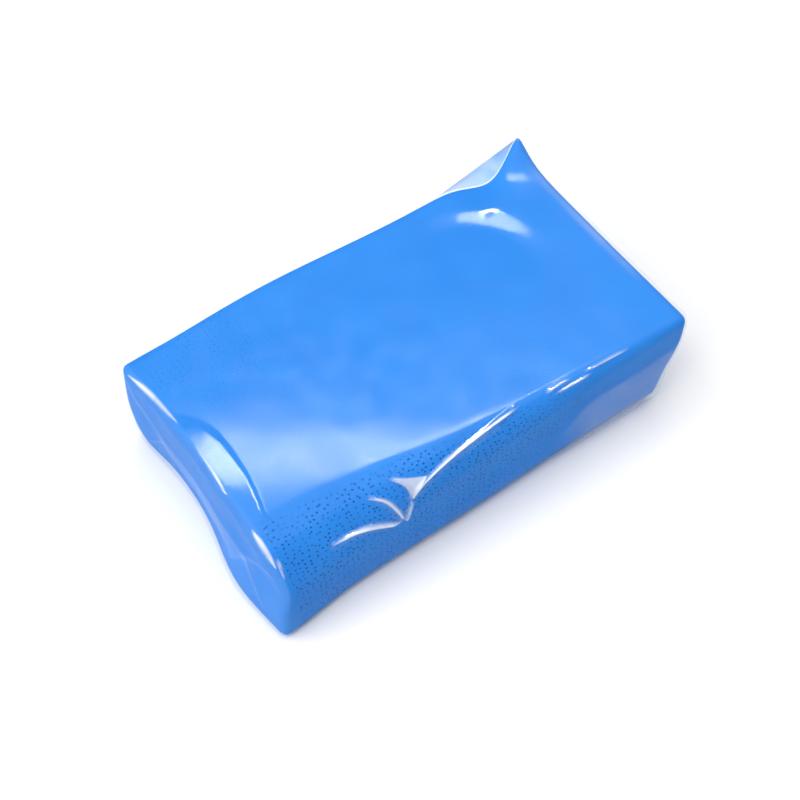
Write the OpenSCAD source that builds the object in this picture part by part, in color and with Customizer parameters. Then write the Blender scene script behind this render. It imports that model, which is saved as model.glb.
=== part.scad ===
// Detailing clay bar in a parcel-folded clear film.
// X runs along the bar, -Y is its front long side, Z is up.
// The origin is the middle of the underside, on the surface that the bar rests on.

/* [Bar] */
// Length over the folded film ends
bar_l = 90; // [70:1:120]
// Width over the film, front to back
bar_w = 52; // [44:1:70]
// Height over the film
bar_h = 23.4; // [20:0.2:30]
// Radius of the clay's long edges and corners
edge_r = 2.4; // [1.5:0.1:3]

/* [Slumped front edge] */
// How far the top front edge has slumped inwards at the left end
slump_w = 12; // [6:1:14]
// How far it has sunk at the left end; it fades out at the right end
slump_drop = 2.6; // [1:0.2:4]

/* [Pinched corner] */
// Height of the pinched clay peak at the back right corner
peak_h = 2.2; // [1:0.2:3]
// Distance of the peak's tip from both outer faces
peak_inset = 2.2; // [2:0.1:3]

/* [Film] */
// Thickness that the film is modelled at
film_t = 0.3; // [0.2:0.05:0.4]
// Clearance between two layers that move past each other
layer_gap = 0.15; // [0.1:0.05:0.25]
// Depth of the end flap that comes down from the top
upper_depth = 14; // [8:1:16]
// Depth of the end flap that comes up from the bottom
lower_depth = 12; // [8:1:12]
// Depth of the two side tucks at each end
tuck_depth = 8; // [5:1:8]
// Height of the crease that the loose front lap hangs from, at its right end
lap_h = 16; // [13:0.5:17]
// Height of the lap at its left end
lap_low_h = 7; // [5:0.5:9]
// Length of the lap's high part, from the right end
lap_high_l = 20; // [10:1:26]
// Length of the ear at the back right corner
ear_l = 22; // [12:1:26]
// Height of the ear's tip above the top face
ear_h = 3.2; // [2:0.2:5]

/* [Hidden] */

clay_colour = [0.27, 0.6, 0.95];
film_colour = [0.72, 0.86, 0.98];

// Clearance that keeps the clay and the fixed film panels from sharing a face
skin_gap = 0.03;
$fn = 64;

// Long sides of the sleeve: the front one leaves room for the loose lap outside it
front_y = -bar_w / 2 + film_t + layer_gap;
back_y = bar_w / 2;
mid_y = (front_y + back_y) / 2;
sleeve_w = back_y - front_y;

// End layers from the outside in: upper flap, lower flap, side tucks, clay
layer = film_t + layer_gap;
upper_x = bar_l / 2 - film_t;
lower_x = upper_x - layer;
tuck_x = lower_x - layer;
clay_end = tuck_x - layer_gap;
crease_gap = 0.1;
sleeve_end = tuck_x - crease_gap;

// A rectangle with round corners, centred on the origin
module round_rect(w, h, r) {
    square([w - 2 * r, h], center = true);
    square([w, h - 2 * r], center = true);
    for (x = [-1, 1])
        for (y = [-1, 1])
            translate([x * (w / 2 - r), y * (h / 2 - r)])
                circle(r = r);
}

// A bar along X whose long edges are rounded; skin is how deep it lies under the film's surface
module round_bar(length, skin) {
    translate([-length / 2, mid_y, bar_h / 2])
        rotate([90, 0, 90])
            linear_extrude(height = length)
                round_rect(sleeve_w - 2 * skin, bar_h - 2 * skin, edge_r + film_t - skin);
}

// Everything above the slumped face, a plane that falls towards the left end's front corner
slump_rise_x = slump_drop / bar_l;
slump_rise_y = slump_drop / slump_w;
slump_turn_y = -atan(slump_rise_x);
slump_turn_x = atan(slump_rise_y * cos(slump_turn_y));

module above_slump(skin) {
    reach = 2 * bar_l;
    translate([-bar_l / 2, front_y, bar_h - slump_drop - skin])
        rotate([slump_turn_x, slump_turn_y, 0])
            translate([-reach, -reach, 0])
                cube([2 * reach, 2 * reach, reach]);
}

// The pinched peak: a cone that leans out towards the corner, with a round tip
module corner_peak() {
    foot_r = 3.6;
    tip_r = 0.7;
    foot_inset = 4.8;
    foot_z = bar_h - 3;
    rise = bar_h + peak_h - tip_r - foot_z;
    run = (foot_inset - peak_inset) * sqrt(2);
    translate([bar_l / 2 - foot_inset, back_y - foot_inset, foot_z])
        rotate([0, atan(run / rise), 45]) {
            cylinder(h = norm([run, rise]), r1 = foot_r, r2 = tip_r);
            translate([0, 0, norm([run, rise])])
                sphere(r = tip_r);
        }
}

module clay_block() {
    skin = film_t + skin_gap;
    outline_r = edge_r + 1;
    color(clay_colour) {
        difference() {
            intersection() {
                round_bar(2 * clay_end, skin);
                translate([0, mid_y, 0])
                    linear_extrude(height = bar_h)
                        round_rect(2 * clay_end, sleeve_w - 2 * skin, outline_r);
                translate([0, bar_w, bar_h / 2])
                    rotate([90, 0, 0])
                        linear_extrude(height = 2 * bar_w)
                            round_rect(2 * clay_end, bar_h - 2 * skin, edge_r);
            }
            above_slump(skin);
        }
        corner_peak();
    }
}

// The film sleeve between two heights, open at both ends
side_low = 3.4;
side_high = 15;

module sleeve(low, high, y_from, y_to) {
    intersection() {
        difference() {
            round_bar(2 * sleeve_end, 0);
            above_slump(0);
            difference() {
                round_bar(3 * sleeve_end, film_t);
                above_slump(film_t);
            }
        }
        translate([-sleeve_end, y_from, low])
            cube([2 * sleeve_end, y_to - y_from, high - low]);
    }
}

module film_bottom() {
    color(film_colour)
        sleeve(-1, side_low, -bar_w, bar_w);
}

module film_front() {
    color(film_colour)
        sleeve(side_low + skin_gap, side_high, -bar_w, 0);
}

module film_back() {
    color(film_colour)
        sleeve(side_low + skin_gap, side_high, 0, bar_w);
}

// The top panel is open at the back right corner, where the clay peak comes through
module film_top() {
    opening = 11;
    opening_h = 3.5;
    color(film_colour)
        difference() {
            sleeve(side_high + skin_gap, bar_h + 1, -bar_w, bar_w);
            translate([bar_l / 2 - opening, back_y - opening, bar_h - opening_h])
                cube([opening, opening, 2 * opening_h]);
        }
}

// A flat panel with 45 degree ends: base on the Y axis, reaching to x = depth
module fold_outline(base, depth) {
    polygon([
        [0, -base / 2],
        [depth, -base / 2 + depth],
        [depth, base / 2 - depth],
        [0, base / 2]
    ]);
}

// Stands a fold outline up on the X = 0 plane, its depth running along +Z
module upright_fold(base, depth) {
    rotate([0, -90, 0])
        mirror([0, 0, 1])
            linear_extrude(height = film_t)
                fold_outline(base, depth);
}

// The flap that comes down from the top edge of the end at +X
module upper_flap(base, centre_y) {
    color(film_colour)
        translate([upper_x, centre_y, bar_h])
            mirror([0, 0, 1])
                upright_fold(base, upper_depth);
}

// The flap that comes up from the bottom edge of the end at +X
lower_hinge_z = film_t + crease_gap;

module lower_flap(base, centre_y) {
    color(film_colour)
        translate([lower_x, centre_y, lower_hinge_z])
            upright_fold(base, lower_depth);
}

// A side tuck of the end at +X, on the side of the given sign of Y, clear of the two rounded edges
tuck_margin = 2.2;
tuck_base = bar_h - 2 * tuck_margin;
tuck_inset = film_t + crease_gap;

module side_tuck(side) {
    hinge_y = side < 0 ? front_y + tuck_inset : back_y - tuck_inset;
    color(film_colour)
        translate([tuck_x, hinge_y, bar_h / 2])
            rotate([side < 0 ? -90 : 90, 0, 0])
                upright_fold(tuck_base, tuck_depth);
}

end_base = sleeve_w - 2 * edge_r;
// At the left end the upper flap starts where the slumped edge stops
left_base = end_base - slump_w;
left_centre = mid_y + slump_w / 2;

module right_upper_flap() {
    upper_flap(end_base, mid_y);
}

module right_lower_flap() {
    lower_flap(end_base, mid_y);
}

module right_front_tuck() {
    side_tuck(-1);
}

module right_back_tuck() {
    side_tuck(1);
}

module left_upper_flap() {
    mirror([1, 0, 0])
        upper_flap(left_base, left_centre);
}

module left_lower_flap() {
    mirror([1, 0, 0])
        lower_flap(end_base, mid_y);
}

module left_front_tuck() {
    mirror([1, 0, 0])
        side_tuck(-1);
}

module left_back_tuck() {
    mirror([1, 0, 0])
        side_tuck(1);
}

// The loose lap hangs from its crease at lap_h and stops just above the surface
lap_foot = 0.4;
lap_slope_l = 10;

module seam_flap() {
    high_x = sleeve_end - lap_high_l;
    color(film_colour)
        translate([0, -bar_w / 2 + film_t, 0])
            rotate([90, 0, 0])
                linear_extrude(height = film_t)
                    polygon([
                        [-sleeve_end, lap_foot],
                        [sleeve_end, lap_foot],
                        [sleeve_end, lap_h],
                        [high_x, lap_h],
                        [high_x - lap_slope_l, lap_low_h + 1],
                        [-sleeve_end, lap_low_h]
                    ]);
}

// The ear stands on the back top edge and rises to its tip at the corner
module corner_ear() {
    ear_end = sleeve_end;
    color(film_colour)
        translate([0, back_y, bar_h])
            rotate([90, 0, 0])
                linear_extrude(height = film_t)
                    polygon([
                        [ear_end - ear_l, 0],
                        [ear_end, 0],
                        [ear_end, ear_h],
                        [ear_end - 1, ear_h]
                    ]);
}

clay_block();
film_top();
film_front();
film_back();
film_bottom();
seam_flap();
corner_ear();
left_upper_flap();
left_lower_flap();
left_front_tuck();
left_back_tuck();
right_upper_flap();
right_lower_flap();
right_front_tuck();
right_back_tuck();
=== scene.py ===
# Soft blue detailing clay bar in a thin clear film, folded round it like a parcel.
# X runs along the bar, -Y is its front long side, Z is up, and the bar rests on Z = 0.
# Shapes are worked out in millimetres and turned into metres when a mesh is made.

import math

import bpy
import numpy as np
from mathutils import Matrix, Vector


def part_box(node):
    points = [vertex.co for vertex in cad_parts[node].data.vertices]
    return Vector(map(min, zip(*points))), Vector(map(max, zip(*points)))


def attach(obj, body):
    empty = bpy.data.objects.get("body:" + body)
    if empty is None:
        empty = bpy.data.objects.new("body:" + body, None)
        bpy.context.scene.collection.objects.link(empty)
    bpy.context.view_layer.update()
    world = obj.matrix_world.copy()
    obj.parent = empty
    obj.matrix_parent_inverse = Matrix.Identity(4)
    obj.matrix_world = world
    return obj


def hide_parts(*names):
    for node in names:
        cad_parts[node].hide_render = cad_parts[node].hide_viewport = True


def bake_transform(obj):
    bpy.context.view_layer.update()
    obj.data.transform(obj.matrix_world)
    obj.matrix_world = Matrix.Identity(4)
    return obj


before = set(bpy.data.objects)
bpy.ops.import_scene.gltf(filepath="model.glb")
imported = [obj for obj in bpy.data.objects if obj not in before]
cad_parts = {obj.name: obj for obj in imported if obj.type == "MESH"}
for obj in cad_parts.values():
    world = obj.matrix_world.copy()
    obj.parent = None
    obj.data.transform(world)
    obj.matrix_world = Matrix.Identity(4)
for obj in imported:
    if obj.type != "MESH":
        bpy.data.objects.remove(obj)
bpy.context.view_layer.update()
MM = 0.001


def node_box(node):
    low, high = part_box(node)
    return np.array(low) / MM, np.array(high) / MM


# ---------------------------------------------------------------------------------------- camera
# The bar lies flat and is seen from above its front left side, with a slightly long lens.

aim = Vector((-4.8, -2.8, 11.7)) * MM
away = 277.2 * MM
azimuth, elevation, roll = math.radians(-34.8), math.radians(56.1), math.radians(-0.7)

lens = bpy.data.cameras.new("camera")
lens.lens = 66.6
lens.sensor_width = 36.0
lens.clip_start = 0.01
camera = bpy.data.objects.new("camera", lens)
back_off = Vector((
    math.sin(azimuth) * math.cos(elevation),
    -math.cos(azimuth) * math.cos(elevation),
    math.sin(elevation),
))
camera.location = aim + back_off * away
turn = (-back_off).to_track_quat("-Z", "Y").to_matrix().to_4x4()
camera.rotation_euler = (turn @ turn.Rotation(roll, 4, "Z")).to_euler()
bpy.context.collection.objects.link(camera)
bpy.context.scene.camera = camera


# ---------------------------------------------------------------------------------------- clay bar
# One block of soft polymer clay, pressed in a mould and then handled: its edges are round, the top
# has slumped along the front edge, and one back corner has been pinched up into a peak.

top_box_low, top_box_high = node_box("film_top")
half_x = top_box_high[0]
front_y, back_y = top_box_low[1], top_box_high[1]
top_z = top_box_high[2]


def fade(start, stop, v):
    """0 at start, 1 at stop, with soft ends; start may be the larger."""
    t = np.clip((v - start) / (stop - start), 0, 1)
    return t * t * (3 - 2 * t)


def bump(v, centre, width):
    return np.exp(-(((v - centre) / width) ** 2))


def ramp(v, soft):
    """0 below zero and v above it, with a soft knee."""
    return (v + np.sqrt(v * v + soft * soft)) / 2


def edge_radius(q):
    """Radius of the nearest long edge at each point of the sharp box."""
    left = np.clip((half_x - q[:, 0]) / (2 * half_x), 0, 1)
    top_front, top_back = 1.8 + 6.0 * left, 1.7
    bottom_front, bottom_back = 4.6 - 2.6 * left ** 2, 3.0
    to_back, to_top = fade(-8, 8, q[:, 1]), fade(8, 13, q[:, 2])
    top = top_front + (top_back - top_front) * to_back
    bottom = bottom_front + (bottom_back - bottom_front) * to_back
    return bottom + (top - bottom) * to_top


def rounded(q, low, high, end_r=1.0):
    """Moves points of a sharp box's faces onto the box with rounded edges; gives normals too."""
    r = edge_radius(q)
    r = np.stack([np.full_like(r, end_r), r, r], axis=1)
    inner = np.clip(q, low + r, high - r)
    out = (q - inner) / r
    out /= np.maximum(np.linalg.norm(out, axis=1), 1e-9)[:, None]
    normal = out / r
    return inner + out * r, normal / np.linalg.norm(normal, axis=1)[:, None]


# The pinched corner: where the clay is taken hold of, and where it is pulled to
peak_from = np.array([42.9, 25.2, top_z - 0.7])
peak_tip = np.array([43.4, 26.5, top_z + 3.1])


def settle(p):
    """How handling has moved the block: the same movement carries the clay and the film on it."""
    x, y, z = p.T
    dx, dy, dz = np.zeros_like(x), np.zeros_like(x), np.zeros_like(x)
    high = fade(top_z - 15, top_z - 2, z)

    # the top falls away in front of a line that slants back towards the left end
    slump_line = -20.8 - 0.15 * x
    slump_slope = 0.20
    dz -= slump_slope * ramp(slump_line - y, 0.8) * high
    # and the whole front left corner sags gently
    to_corner = -0.60 * (x + 36) - 0.80 * (y + 3)
    sag_slope = 0.105
    dz -= sag_slope * ramp(to_corner, 7) * high * fade(-4, -24, x)

    # back face bowed out, then scooped in beside the pinched corner
    near_back = fade(back_y - 9, back_y, y)
    bow, scoop_in, scoop_down = 1.9, 2.6, 0.8
    dy += bow * bump(x, -17, 26) * fade(2, back_y, y)
    dy -= scoop_in * bump(x, 35.5, 5.5) * near_back * high
    dz -= scoop_down * bump(x, 34, 6) * near_back * high

    # step up to the corner, along an arc, and the pinched peak itself
    arc_x, arc_y = 19.6, 7.0
    round_arc = np.arctan2(y - arc_y, x - arc_x)
    from_arc = np.hypot(x - arc_x, y - arc_y)
    step_up = 0.66
    dz += step_up * fade(9.5, 15.5, from_arc) * bump(round_arc, 0.6, 0.95) * high
    from_corner = np.linalg.norm(p - peak_from, axis=1)
    pinch_reach = 3.9
    pinch = np.exp(-(from_corner / pinch_reach) ** 1.25)
    move = (peak_tip - peak_from)[:, None] * pinch
    dx += move[0]
    dy += move[1]
    dz += move[2]

    # right end leans in under its top edge, most at the front
    lean = 3.6
    dx -= lean * fade(17, 0, z) * fade(24, half_x, x) * (0.4 + 0.6 * fade(6, front_y, y))

    # left end bellies out over the ground, at the front and a little at the back
    belly = 3.2 * bump(y, -13, 12) * fade(18, 0, z) + 1.2 * bump(y, 22, 6) * bump(z, 7, 9)
    dx -= belly * fade(-36, -half_x, x)

    # the two left corners are drawn out by the folded film
    for corner, pull in (((-44, 26, 17), (-1.4, 0.5, 0)), ((-44, -26, 3), (-0.8, -1.2, 0))):
        near = np.exp(-((x - corner[0]) ** 2 + (y - corner[1]) ** 2) / 60 - ((z - corner[2]) / 14) ** 2)
        dx += pull[0] * near
        dy += pull[1] * near

    # both ends spread a little under the pressure of the fold
    dx += 0.9 * fade(35, half_x, np.abs(x)) * np.sign(x) * np.where(x > 0, fade(8, 20, z), 1)

    # soft unevenness of the faces
    dz += 0.06 * np.sin(x / 9.0 + 0.7) * np.cos(y / 7.5 - 0.4) * high
    dy += 0.14 * np.sin(x / 8.0 + 1.9) * np.cos(z / 5.0) * (1 - high) * np.sign(y)
    return np.stack([x + dx, y + dy, z + dz], axis=1)


def make_mesh(name, points, faces):
    """Object from points in millimetres, shaded smooth."""
    mesh = bpy.data.meshes.new(name)
    mesh.from_pydata((np.asarray(points) * MM).tolist(), [], faces)
    mesh.shade_smooth()
    obj = bpy.data.objects.new(name, mesh)
    bpy.context.collection.objects.link(obj)
    return obj


def box_shell(low, high, step):
    """Points and quads of a closed sharp box, cut into squares of about step."""
    counts = np.maximum(np.round((high - low) / step).astype(int), 1)
    index, points, faces = {}, [], []

    def point(i, j, k):
        if (i, j, k) not in index:
            index[i, j, k] = len(points)
            points.append(low + (high - low) * np.array([i, j, k]) / counts)
        return index[i, j, k]

    for axis in range(3):
        u, v = (axis + 1) % 3, (axis + 2) % 3
        for side in (0, counts[axis]):
            for a in range(counts[u]):
                for b in range(counts[v]):
                    quad = []
                    for da, db in ((0, 0), (1, 0), (1, 1), (0, 1)):
                        at = [0, 0, 0]
                        at[axis], at[u], at[v] = side, a + da, b + db
                        quad.append(point(*at))
                    faces.append(quad if side else quad[::-1])
    return np.array(points), faces


class Nodes:
    """Short way to build a material's nodes."""

    def __init__(self, name):
        self.material = bpy.data.materials.new(name)
        self.material.use_nodes = True
        self.tree = self.material.node_tree
        self.tree.nodes.clear()

    def add(self, kind, links=None, **settings):
        made = self.tree.nodes.new(kind)
        for key, value in settings.items():
            setattr(made, key, value)
        for socket, value in (links or {}).items():
            if isinstance(value, bpy.types.NodeSocket):
                self.tree.links.new(value, made.inputs[socket])
            else:
                made.inputs[socket].default_value = value
        return made

    def math(self, operation, a, b=0.0, clamp=False):
        made = self.add("ShaderNodeMath", {0: a, 1: b}, operation=operation, use_clamp=clamp)
        return made.outputs[0]

    def span(self, value, from_min, from_max, to_min, to_max):
        return self.add("ShaderNodeMapRange", {
            "Value": value, "From Min": from_min, "From Max": from_max,
            "To Min": to_min, "To Max": to_max,
        }).outputs[0]

    def noise(self, where, size, detail=2.0):
        """Noise whose features are about size across, in metres."""
        return self.add("ShaderNodeTexNoise", {
            "Vector": where, "Scale": 1 / size, "Detail": detail,
        }).outputs[0]

    def colours(self, factor, a, b):
        return self.add("ShaderNodeMix", {0: factor, 6: a, 7: b}, data_type="RGBA").outputs[2]

    def finish(self, shader):
        self.add("ShaderNodeOutputMaterial", {"Surface": shader})
        return self.material


def clay_material():
    """Waxy blue clay, faintly mottled, with pinhole air bubbles under the film."""
    m = Nodes("clay_blue")
    where = m.add("ShaderNodeTexCoord").outputs["Object"]
    axes = m.add("ShaderNodeSeparateXYZ", {0: where})
    mottle = m.noise(where, 11 * MM, 3)
    blue, paler_blue = (0.025, 0.225, 0.720, 1), (0.031, 0.245, 0.760, 1)
    bubble_blue = (0.005, 0.065, 0.32, 1)
    body = m.colours(m.span(mottle, 0.35, 0.65, 0, 1), blue, paler_blue)

    # bubbles, laid out over the top and down the front: dense below the slumped edge, faint on the
    # left of the top, none elsewhere
    cell = 1.2 * MM
    girth = m.math("ADD", axes.outputs[1], axes.outputs[2])
    laid_out = m.add("ShaderNodeCombineXYZ", {0: axes.outputs[0], 1: girth})
    spots = m.add("ShaderNodeTexVoronoi", {
        "Vector": laid_out.outputs[0], "Scale": 1 / cell, "Randomness": 0.68,
    }, voronoi_dimensions="2D").outputs["Distance"]
    slant = m.math("ADD", axes.outputs[1], m.math("MULTIPLY", axes.outputs[0], 0.15))
    fewer_right = m.span(axes.outputs[0], 34 * MM, 2 * MM, 0.45, 1.0)
    in_front = m.math("MULTIPLY", m.span(slant, -19.5 * MM, -22 * MM, 0.0, 1.0), fewer_right)
    on_left = m.span(axes.outputs[0], -4 * MM, -26 * MM, 0.0, 0.55)
    patchy = m.span(m.noise(where, 4 * MM), 0.35, 0.65, 0.75, 1.15)
    off_end = m.span(axes.outputs[0], -43.4 * MM, -42.6 * MM, 0.0, 1.0)
    size = m.math("MULTIPLY", m.math("MAXIMUM", in_front, on_left), m.math("MULTIPLY", patchy, off_end))
    spot_r = 0.205
    dot = m.span(m.math("DIVIDE", spots, m.math("MAXIMUM", m.math("MULTIPLY", size, spot_r), 0.001)),
                 0.6, 1.0, 1.0, 0.0)
    depth = m.math("MULTIPLY", dot, m.span(size, 0.3, 1.0, 0.35, 0.9))
    colour = m.colours(depth, body, bubble_blue)

    grain = m.noise(where, 0.7 * MM, 3)
    height = m.math("SUBTRACT", m.math("MULTIPLY", grain, 0.25), m.math("MULTIPLY", dot, 0.5))
    relief = m.add("ShaderNodeBump", {"Height": height, "Strength": 0.35, "Distance": 0.10 * MM})
    skin = m.add("ShaderNodeBsdfPrincipled", {
        "Base Color": colour,
        "Roughness": m.span(mottle, 0.3, 0.7, 0.48, 0.60),
        "Specular IOR Level": 0.03,
        "Normal": relief.outputs[0],
    })
    return m.finish(skin.outputs[0])


# The clay stays this far inside the film's surface, and ends this far past the sleeve
film_gap = 0.22
clay_end = half_x + 0.35
clay_step = 0.75
clay_low = np.array([-clay_end, front_y, 0.0])
clay_high = np.array([clay_end, back_y, top_z])
sharp, clay_faces = box_shell(clay_low, clay_high, clay_step)
on_clay, out = rounded(sharp, clay_low, clay_high, 1.2)
clay = make_mesh("clay_bar", settle(on_clay - out * film_gap), clay_faces)
clay.data.materials.append(clay_material())
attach(clay, "wrapped_bar")
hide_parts("clay_block")


# ---------------------------------------------------------------------------------------- film sleeve
# One sheet of thin clear film wound round the bar's four long faces and clinging to the clay. Where
# the clay has slumped away from it, the slack stands up in sharp creases that catch the light, and a
# white highlight is painted along them.

sleeve_depth = back_y - front_y
sleeve_end = 42.9


def on_sleeve(x, s):
    """Sharp-box point at x and girth s: s is 0 on the top front edge and grows over the top."""
    y = np.where(s < 0, front_y, front_y + s)
    z = np.where(s < 0, top_z + s, top_z)
    z = np.where(s > sleeve_depth, top_z - (s - sleeve_depth), z)
    y = np.where(s > sleeve_depth, back_y, y)
    y = np.where(s < -top_z, front_y - top_z - s, y)
    z = np.where(s < -top_z, 0, z)
    return np.stack([x, y, z], axis=1)


def along(path, x, s):
    """Distance of points from a smoothed path, how far along it (0 to 1), and if they are left of it."""
    path = np.array(path, float)
    for _ in range(2):
        inner = np.stack([path[:-1] * 0.75 + path[1:] * 0.25, path[:-1] * 0.25 + path[1:] * 0.75], axis=1)
        path = np.concatenate([path[:1], inner.reshape(-1, 2)[1:-1], path[-1:]])
    steps = np.linalg.norm(np.diff(path, axis=0), axis=1)
    starts = np.concatenate([[0], np.cumsum(steps)])
    best, where, left_of = np.full(x.shape, 1e9), np.zeros(x.shape), np.zeros(x.shape, bool)
    for i, long in enumerate(steps):
        u = (path[i + 1] - path[i]) / long
        rx, rs = x - path[i, 0], s - path[i, 1]
        t = np.clip(rx * u[0] + rs * u[1], 0, long)
        d = np.hypot(rx - t * u[0], rs - t * u[1])
        nearer = d < best
        best = np.where(nearer, d, best)
        where = np.where(nearer, (starts[i] + t) / starts[-1], where)
        left_of = np.where(nearer, u[0] * rs - u[1] * rx > 0, left_of)
    return best, where, left_of


def crease(path, x, s, height, above, below, taper):
    """Height of a standing crease whose flanks reach so far to the left and right of its path."""
    d, t, left_of = along(path, x, s)
    u = np.clip(d / above, 0, 1)
    v = np.clip(d / below, 0, 1)
    flank = np.where(left_of, (1 - u) * (1 - u / 3), (1 - v) ** 2)
    return height * flank * np.clip(t / taper, 0, 1) ** 0.7 * np.clip((1 - t) / taper, 0, 1) ** 0.7


# Each crease: its path in (x, s), height, reach above and below, the share of its length that it
# takes to rise and fall, and how strong a white highlight is painted along it.
creases = [
    ([(-17.9, -2.5), (-16.3, -1.3), (-14.1, -0.1), (-10.2, 1.1), (-6.8, 1.7), (0, 2.5), (7, 3.0)],
     0.65, 1.0, 2.6, 0.10, 0.95),
    ([(-19.7, 4.3), (-18.6, 3.1), (-17.7, 1.0), (-17.9, -2.5)], 0.60, 0.9, 1.6, 0.20, 0.95),
    ([(-20.1, -6.4), (-18.9, -4.4), (-17.9, -2.5)], 0.90, 1.0, 1.5, 0.10, 0.55),
    ([(-24.9, 3.9), (-22.5, 1.9), (-21.4, -1.7), (-20.1, -6.4)], 0.60, 0.9, 1.6, 0.15, 1.0),
    ([(-34.6, -0.8), (-30.5, -0.9), (-26.7, -2.4), (-22.9, -4.6), (-20.1, -6.4)], 1.0, 1.0, 2.2, 0.20, 1.0),
    ([(12.7, 2.2), (16.3, 2.5), (18.6, 2.2)], 0.35, 0.8, 1.4, 0.25, 0.5),
    ([(14.2, 1.2), (18.8, 0.9), (22.5, 0.8)], 0.35, 0.6, 1.2, 0.25, 0.6),
    ([(21.2, 2.0), (24.4, 1.6), (31.5, 1.2)], 0.30, 0.6, 1.2, 0.25, 0.4),
    ([(-42.8, -1.6), (-42.7, 1.2), (-42.5, 4.2)], 0.25, 0.5, 0.5, 0.25, 0.9),
]


def painted_crease_highlight(x, s):
    """Painted white highlight along the creases and over the crook of the Y: partly the whitening of
    creased film, partly standing in for their glare.
    """
    crook_left = -18.0 - 0.166 * np.maximum(s - 1.4, 0) ** 2 + 0.023 * np.maximum(1.4 - s, 0) ** 2
    under_top = fade(0.3, -0.1, (s - 4.5) + 0.63 * (x + 19.6))
    white = under_top * fade(-0.1, 0.3, (s + 2.8) - 0.92 * (x + 17.6)) * fade(-0.05, 0.2, x - crook_left)
    white = white * fade(-20.2, -19.8, x)
    for path, _, above, _, taper, strength in creases:
        d, t, left_of = along(path, x, s)
        reach = np.where(left_of, 0.14 + 0.40 * above * np.sin(math.pi * t), 0.14)
        ends = np.clip(t / taper, 0, 1) * np.clip((1 - t) / taper, 0, 1)
        white = np.maximum(white, strength * np.exp(-((d / reach) ** 2)) * ends)
    return white


def slack(x, s):
    """How far the film stands off its smooth place, in millimetres."""
    y = front_y + s

    # the fold along the slumped edge, forking into a Y near the left end, with its small tip below
    lift = np.max([crease(path, x, s, *shape) for path, *shape, _ in creases], axis=0)

    # a leaf-shaped pocket beside the left end, with a crisp inner edge
    belly_y, pocket_h = -2, 0.30
    forward, backward = 1.3 * ((y - belly_y) / 11) ** 2, 1.6 * (np.abs(y - belly_y) / 9.5) ** 3
    pocket_edge = -38.9 - np.where(y < belly_y, forward, backward)
    inside = fade(pocket_edge + 0.2, pocket_edge - 0.25, x)
    lift += pocket_h * inside * fade(13, 7, y) * fade(-19, -14, y)

    # an air bubble in the far corner
    bubble_h = 0.16
    lift += bubble_h * bump(x, 30.5, 1.7) * bump(y, 16.4, 1.0)
    return lift


def ripple(x, s, wave, seed):
    """Smooth unevenness of about +-1, with waves of roughly the given length."""
    random = np.random.default_rng(seed)
    total = np.zeros_like(x)
    waves = 10
    for _ in range(waves):
        angle, phase = random.uniform(0, math.tau, 2)
        k = math.tau / (wave * random.uniform(0.7, 1.6))
        total += np.sin(k * (x * math.cos(angle) + s * math.sin(angle)) + phase)
    return total / math.sqrt(waves)


def unsettled_film(x, s, lift=0.0):
    """The film's surface at x and girth s on the block as moulded, before it was handled."""
    q = on_sleeve(x, s)
    reach = np.array([1e3, 0, 0])
    low, high = np.array([0, front_y, 0]) - reach, np.array([0, back_y, top_z]) + reach
    p, normal = rounded(q, low, high)
    return p + normal * np.broadcast_to(lift, x.shape)[:, None]


def film_points(x, s, lift=0.0):
    return settle(unsettled_film(x, s, slack(x, s) + 0.010 * ripple(x, s, 7, 4) + lift))


def sheet_mesh(name, grid, turn_over=False, **values):
    """Object from a rectangular grid of points, shape (rows, columns, 3), with a value per point."""
    rows, columns = grid.shape[:2]
    start = (np.arange(rows - 1)[:, None] * columns + np.arange(columns - 1)).ravel()
    faces = np.stack([start, start + 1, start + columns + 1, start + columns], axis=1)
    faces = faces[:, ::-1] if turn_over else faces
    obj = make_mesh(name, grid.reshape(-1, 3), faces.tolist())
    for key, value in values.items():
        held = obj.data.attributes.new(key, "FLOAT", "POINT")
        held.data.foreach_set("value", np.ascontiguousarray(value, dtype=np.float32).ravel())
    return obj


def lines(*stops):
    """Grid lines: stops are (start, step) pairs, the last one (end,)."""
    parts = []
    for (start, step), following in zip(stops[:-1], stops[1:]):
        count = max(int(round(abs(following[0] - start) / step)), 1)
        parts.append(np.linspace(start, following[0], count, endpoint=False))
    return np.concatenate([*parts, [stops[-1][0]]])


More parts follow.
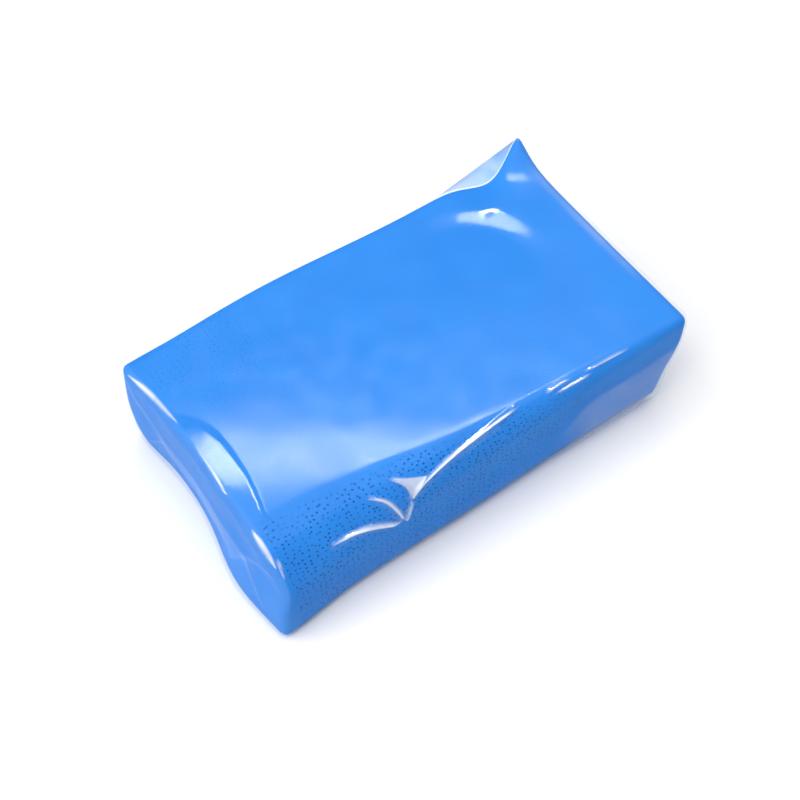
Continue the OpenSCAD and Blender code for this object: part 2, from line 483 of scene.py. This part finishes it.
def film_material(name, haze_and_highlight_colour):
    """Clear film: dull where it clings to the clay, smooth where loose and glossier where it stands up; its
    white diffuse layer is the film's own cloudiness and also painted white highlights.
    """
    m = Nodes(name)
    where = m.add("ShaderNodeTexCoord").outputs["Object"]
    loose = m.add("ShaderNodeAttribute", attribute_name="loose").outputs["Fac"]
    fine = m.noise(where, 1.6 * MM, 2)
    relief = m.add("ShaderNodeBump", {"Height": fine, "Strength": 0.25, "Distance": 0.02 * MM})
    uneven = m.span(m.noise(where, 5 * MM), 0.3, 0.7, 0.75, 1.3)
    roughness = m.math("MULTIPLY", m.span(loose, 0, 1, 0.15, 0.05), uneven)
    shine = m.add("ShaderNodeBsdfGlossy", {"Roughness": roughness, "Normal": relief.outputs[0]})
    clear = m.add("ShaderNodeBsdfTransparent", {"Color": (0.97, 0.99, 1.0, 1)})
    edge_on = m.add("ShaderNodeLayerWeight", {"Blend": 0.5, "Normal": relief.outputs[0]}).outputs["Facing"]
    bright = m.add("ShaderNodeAttribute", attribute_name="bright").outputs["Fac"]
    face_on = m.span(bright, 0, 1, 0.008, 0.050)
    glancing = m.math("MULTIPLY", m.math("POWER", edge_on, 5.0), 0.16)
    reflect = m.math("ADD", face_on, glancing, clamp=True)
    # White diffuse layer: the film's cloudiness, and painted white highlights along creases
    milk = m.add("ShaderNodeBsdfDiffuse", {"Color": (*haze_and_highlight_colour, 1)})
    milky = m.add("ShaderNodeAttribute", attribute_name="milky").outputs["Fac"]
    haze_and_highlight_amount = m.math("ADD", m.math("MULTIPLY", milky, 0.85), 0.002)
    clouding_and_highlight = m.math("MULTIPLY", haze_and_highlight_amount, m.span(m.noise(where, 9 * MM, 3), 0.35, 0.65, 0.7, 1.3))
    body = m.add("ShaderNodeMixShader", {0: clouding_and_highlight, 1: clear.outputs[0], 2: milk.outputs[0]})
    skin = m.add("ShaderNodeMixShader", {0: reflect, 1: body.outputs[0], 2: shine.outputs[0]})
    return m.finish(skin.outputs[0])


film_clear = film_material("film_clear", (0.86, 0.93, 1.0))

sleeve_x = lines((-sleeve_end, 0.4), (-36, 0.22), (14, 0.35), (sleeve_end,))
over_s = lines((-top_z + 3, 0.5), (-12, 0.3), (-8, 0.19), (6, 0.35), (14, 0.5), (sleeve_depth + 3, 0.8),
               (sleeve_depth + 12,))
under_s = lines((-top_z + 3, 0.8), (-top_z - 5, 1.6), (-top_z - sleeve_depth + 5, 0.8),
                (-top_z - sleeve_depth - 0.01,))
grid_x, grid_s = np.meshgrid(sleeve_x, over_s)
flat_x, flat_s = grid_x.ravel(), grid_s.ravel()
over = film_points(flat_x, flat_s).reshape(*grid_x.shape, 3)
flat_y = front_y + flat_s
stands_up = np.clip(slack(flat_x, flat_s) / 0.12, 0, 1)
in_pocket = fade(-38.0, -39.5, flat_x) * fade(20, 12, flat_y)
smooth_corner = bump(flat_x, 27, 9) * bump(flat_y, 11, 11)
hazy_right_edge = 0.15 * bump(flat_x, 42.4, 0.8) * fade(22, 17, flat_y) * fade(-16, -6, flat_y)
# this value holds the painted crease highlights, and cloudiness along the right edge
film_over = sheet_mesh("film_over_top", over,
                       loose=np.maximum(stands_up * (1 - 0.3 * in_pocket), smooth_corner),
                       bright=stands_up * (1 - 0.9 * in_pocket),
                       milky=np.maximum(painted_crease_highlight(flat_x, flat_s), hazy_right_edge))

coarse_x = np.append(sleeve_x[:-1:3], sleeve_end)
under_x, under_grid = np.meshgrid(coarse_x, under_s)
under = film_points(under_x.ravel(), under_grid.ravel()).reshape(*under_x.shape, 3)
back_s = lines((sleeve_depth + 12, 0.8), (sleeve_depth + top_z,))
back_x, back_grid = np.meshgrid(coarse_x, back_s)
rear = film_points(back_x.ravel(), back_grid.ravel()).reshape(*back_x.shape, 3)
film_under = sheet_mesh("film_under", np.concatenate([under, rear[::-1]]), turn_over=True)

for piece, nodes in ((film_over, ("film_top", "film_front")), (film_under, ("film_back", "film_bottom"))):
    piece.data.materials.append(film_clear)
    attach(piece, "wrapped_bar")
    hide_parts(*nodes)


# ---------------------------------------------------------------------------------------- end folds
# At each end the sleeve's overhang is folded in like a parcel: the two side tucks first, then the
# lower flap, then the upper flap outside them. Each one turns on its own soft crease.


def fold(name, side, s_from, s_to, inwards, plane_x, depth, curl, seed, highlight_paths=()):
    """One fold: it leaves the sleeve's end between two girths and turns inwards over plane_x.

    Gives the piece, and a point on its crease and one where the turn is complete.
    """
    u = np.linspace(0, 1, 90)
    turn_r = plane_x - sleeve_end
    t = lines((0, 0.22), (turn_r * math.pi / 2 + 1, 0.45), (turn_r * math.pi / 2 + depth - turn_r,))
    grid_u, grid_t = np.meshgrid(u, t)
    flat_u, flat_t = grid_u.ravel(), grid_t.ravel()
    s = s_from + (s_to - s_from) * flat_u
    start_x = np.full_like(s, side * sleeve_end)
    base = unsettled_film(start_x, s, slack(start_x, s))
    angle = np.minimum(flat_t / turn_r, math.pi / 2)
    out = turn_r * np.sin(angle)
    down = turn_r * (1 - np.cos(angle)) + np.maximum(flat_t - turn_r * math.pi / 2, 0)
    across = 1 if inwards[0] == "z" else 2
    middle = (base[:, across].max() + base[:, across].min()) / 2
    half = (base[:, across].max() - base[:, across].min()) / 2
    p = base.copy()
    narrowing = 0.94
    p[:, across] = middle + (base[:, across] - middle) * (1 - narrowing * down / half)
    p[:, 2 if inwards[0] == "z" else 1] += down * (1 if inwards[1] == "+" else -1)
    free = fade(0.55, 1, down / depth)
    # white highlights painted along the given paths of the crease, which also make the film glossier there
    painted_bend_highlight = np.zeros_like(flat_t)
    for path, reach in highlight_paths:
        near, way, _ = along(path, s, flat_t)
        painted_bend_highlight = np.maximum(painted_bend_highlight, np.exp(-((near / (reach * np.sin(math.pi * way) + 0.03)) ** 2)))
    out = out + curl * free + 0.10 * ripple(p[:, 1], p[:, 2], 9, seed) * np.minimum(out, 1)
    p[:, 0] += side * out
    grid = settle(p).reshape(*grid_u.shape, 3)
    piece = sheet_mesh(name, grid, turn_over=side > 0, loose=np.full_like(flat_u, 0.4), bright=painted_bend_highlight,
                       milky=0.045 + 0.04 * free + 0.85 * painted_bend_highlight)
    piece.data.materials.append(film_clear)
    turned = int(np.argmin(np.abs(t - turn_r * math.pi / 2)))
    return piece, grid[0, len(u) // 2].copy(), grid[turned, len(u) // 2].copy()


# painted white highlights along the left end's upper crease: paths in (girth, distance past the sleeve),
# half width
left_crease_highlights = [
    ([(49, 1.1), (44, 0.65), (39.6, 0.45), (35, 0.15)], 0.42),
    ([(30, 0.05), (26, 0.1), (22, 0.25), (17.6, 0.8)], 0.20),
    ([(10.2, 0.55), (6.3, 0.35), (2.5, 0.5)], 0.42),
]

# From the inside out: girth range, way it turns, plane it lies in, depth and how far its edge curls
layers = {
    "front_tuck": (-top_z + 0.01, 0, "y+", 44.2, 11.4, 0.0),
    "back_tuck": (sleeve_depth, sleeve_depth + top_z - 0.01, "y-", 44.2, 11.4, 0.0),
    "lower_flap": (-top_z - sleeve_depth, -top_z, "z+", 44.35, 12.0, 0.0),
    "upper_flap": (0, sleeve_depth, "z-", 44.52, 14.0, 0.1),
}
for side, end in ((-1, "left"), (1, "right")):
    for seed, (kind, shape) in enumerate(layers.items()):
        highlight_paths = left_crease_highlights if (end, kind) == ("left", "upper_flap") else ()
        pleat, start, stop = fold(f"{end}_{kind}_film", side, *shape, seed + 10 + side, highlight_paths)
        if kind == "upper_flap":
            stop[2] = start[2]
        if end == "right" and kind != "lower_flap":
            # this end leans in lower down, so its crease is followed on a slant
            stop[2] = start[2] - 0.18 * (stop[0] - start[0])
        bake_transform(pleat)
        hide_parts(f"{end}_{kind}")


# ---------------------------------------------------------------------------------------- front lap
# The last turn of the film ends low on the front. Its edge is not stuck down, so it hangs a little
# clear of the sleeve, from a crease that is high at the right and low at the left.

lap_x = lines((-sleeve_end, 0.6), (sleeve_end,))
lap_low, lap_rise = 7, 9.2
lap_top_z = lap_low + lap_rise * fade(12, 22, lap_x) + 0.25 * np.sin(lap_x / 3.1)
lap_foot_z = 0.45
drop = np.linspace(0, 1, 46)
grid_x, grid_d = np.meshgrid(lap_x, drop)
grid_z = lap_top_z[None, :] * (1 - grid_d) + lap_foot_z * grid_d
flat_x, flat_z, flat_d = grid_x.ravel(), grid_z.ravel(), grid_d.ravel()
stand_off = 0.10 + 0.06 * (1 + ripple(flat_x, flat_z, 8, 7)) * fade(0.1, 0.6, flat_d)
stand_off += (0.30 * fade(0.05, 1, flat_d) + 0.35 * bump(flat_z, 4, 3)) * fade(10, 20, flat_x)
lap_grid = film_points(flat_x, flat_z - top_z, stand_off).reshape(*grid_x.shape, 3)
clouded = (0.003 + 0.16 * fade(13, 26, flat_x)) * fade(0, 0.12, flat_d)
front_lap = sheet_mesh("front_lap_film", lap_grid, turn_over=True,
                       loose=fade(0, 0.2, flat_d), bright=0.5 * clouded, milky=clouded)
front_lap.data.materials.append(film_clear)
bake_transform(front_lap)
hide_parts("seam_flap")


# ---------------------------------------------------------------------------------------- corner ear
# A web of spare film, doubled over and tinged by the clay, stretched from the back edge to the tip
# of the pinched corner. It stands on the edge like an ear.

ear_x = np.linspace(24.5, 43.0, 60)
crease_line = film_points(ear_x, np.full_like(ear_x, sleeve_depth + 0.2), 0.05)
up = np.linspace(0, 1, 14)
tip = settle(peak_from[None, :])[0] + np.array([0, 0, 0.15])
straight = crease_line[0] + (tip - crease_line[0]) * ((ear_x - ear_x[0]) / (ear_x[-1] - ear_x[0]))[:, None]
web = crease_line[None] + (straight - crease_line)[None] * up[:, None, None]
web[:, :, 1] += 0.25 * np.sin(up * math.pi)[:, None] * np.sin(np.linspace(0, math.pi, len(ear_x)))[None]
towards_tip = np.broadcast_to(np.linspace(0, 1, len(ear_x)), web.shape[:2])
ear = sheet_mesh("corner_ear_film", web, turn_over=True, loose=np.ones(web.shape[:2]),
                 bright=np.full(web.shape[:2], 0.05), milky=0.75 + 0.35 * fade(0.2, 0.9, towards_tip))
ear.data.materials.append(film_material("film_doubled", (0.34, 0.60, 0.95)))
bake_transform(ear)
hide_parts("corner_ear")


# ---------------------------------------------------------------------------------------- studio
# A plain pale floor, an even pale surround, a broad soft key from the left, a broad overhead light,
# and a small softbox behind the bar that gives only the glare on the film.

floor_half = 20.0
floor_drop = 0.1 * MM
floor_mesh = bpy.data.meshes.new("floor")
floor_mesh.from_pydata([(-floor_half, -floor_half, 0), (floor_half, -floor_half, 0),
                        (floor_half, floor_half, 0), (-floor_half, floor_half, 0)], [], [(0, 1, 2, 3)])
floor = bpy.data.objects.new("floor", floor_mesh)
floor.location.z = -floor_drop
bpy.context.collection.objects.link(floor)
m = Nodes("floor_white")
floor_skin = m.add("ShaderNodeBsdfDiffuse", {"Color": (0.93, 0.925, 0.915, 1)})
floor.data.materials.append(m.finish(floor_skin.outputs[0]))


def soft_light(name, azimuth_deg, elevation_deg, distance, size, radiance, colour=(1, 1, 1)):
    """A rectangular softbox aimed at the bar; azimuth is measured from +X towards +Y."""
    light = bpy.data.lights.new(name, "AREA")
    light.shape = "RECTANGLE"
    light.size, light.size_y = size
    light.energy = radiance * math.pi * size[0] * size[1]
    light.color = colour
    obj = bpy.data.objects.new(name, light)
    a, e = math.radians(azimuth_deg), math.radians(elevation_deg)
    towards = Vector((math.cos(a) * math.cos(e), math.sin(a) * math.cos(e), math.sin(e)))
    obj.location = towards * distance
    obj.rotation_euler = towards.to_track_quat("Z", "Y").to_euler()
    bpy.context.collection.objects.link(obj)
    return obj


glare = soft_light("softbox", 54, 66, 1.2, (0.42, 0.22), 52)
glare.visible_diffuse = False
soft_light("key", 165, 42, 1.8, (2.0, 2.0), 1.9)
soft_light("overhead", 0, 89, 1.6, (1.8, 1.8), 2.5)

surround = bpy.data.worlds.new("surround")
surround.use_nodes = True
surround.node_tree.nodes["Background"].inputs["Color"].default_value = (1.0, 0.985, 0.96, 1)
surround.node_tree.nodes["Background"].inputs["Strength"].default_value = 0.22
bpy.context.scene.world = surround
bpy.context.scene.view_settings.view_transform = "Standard"
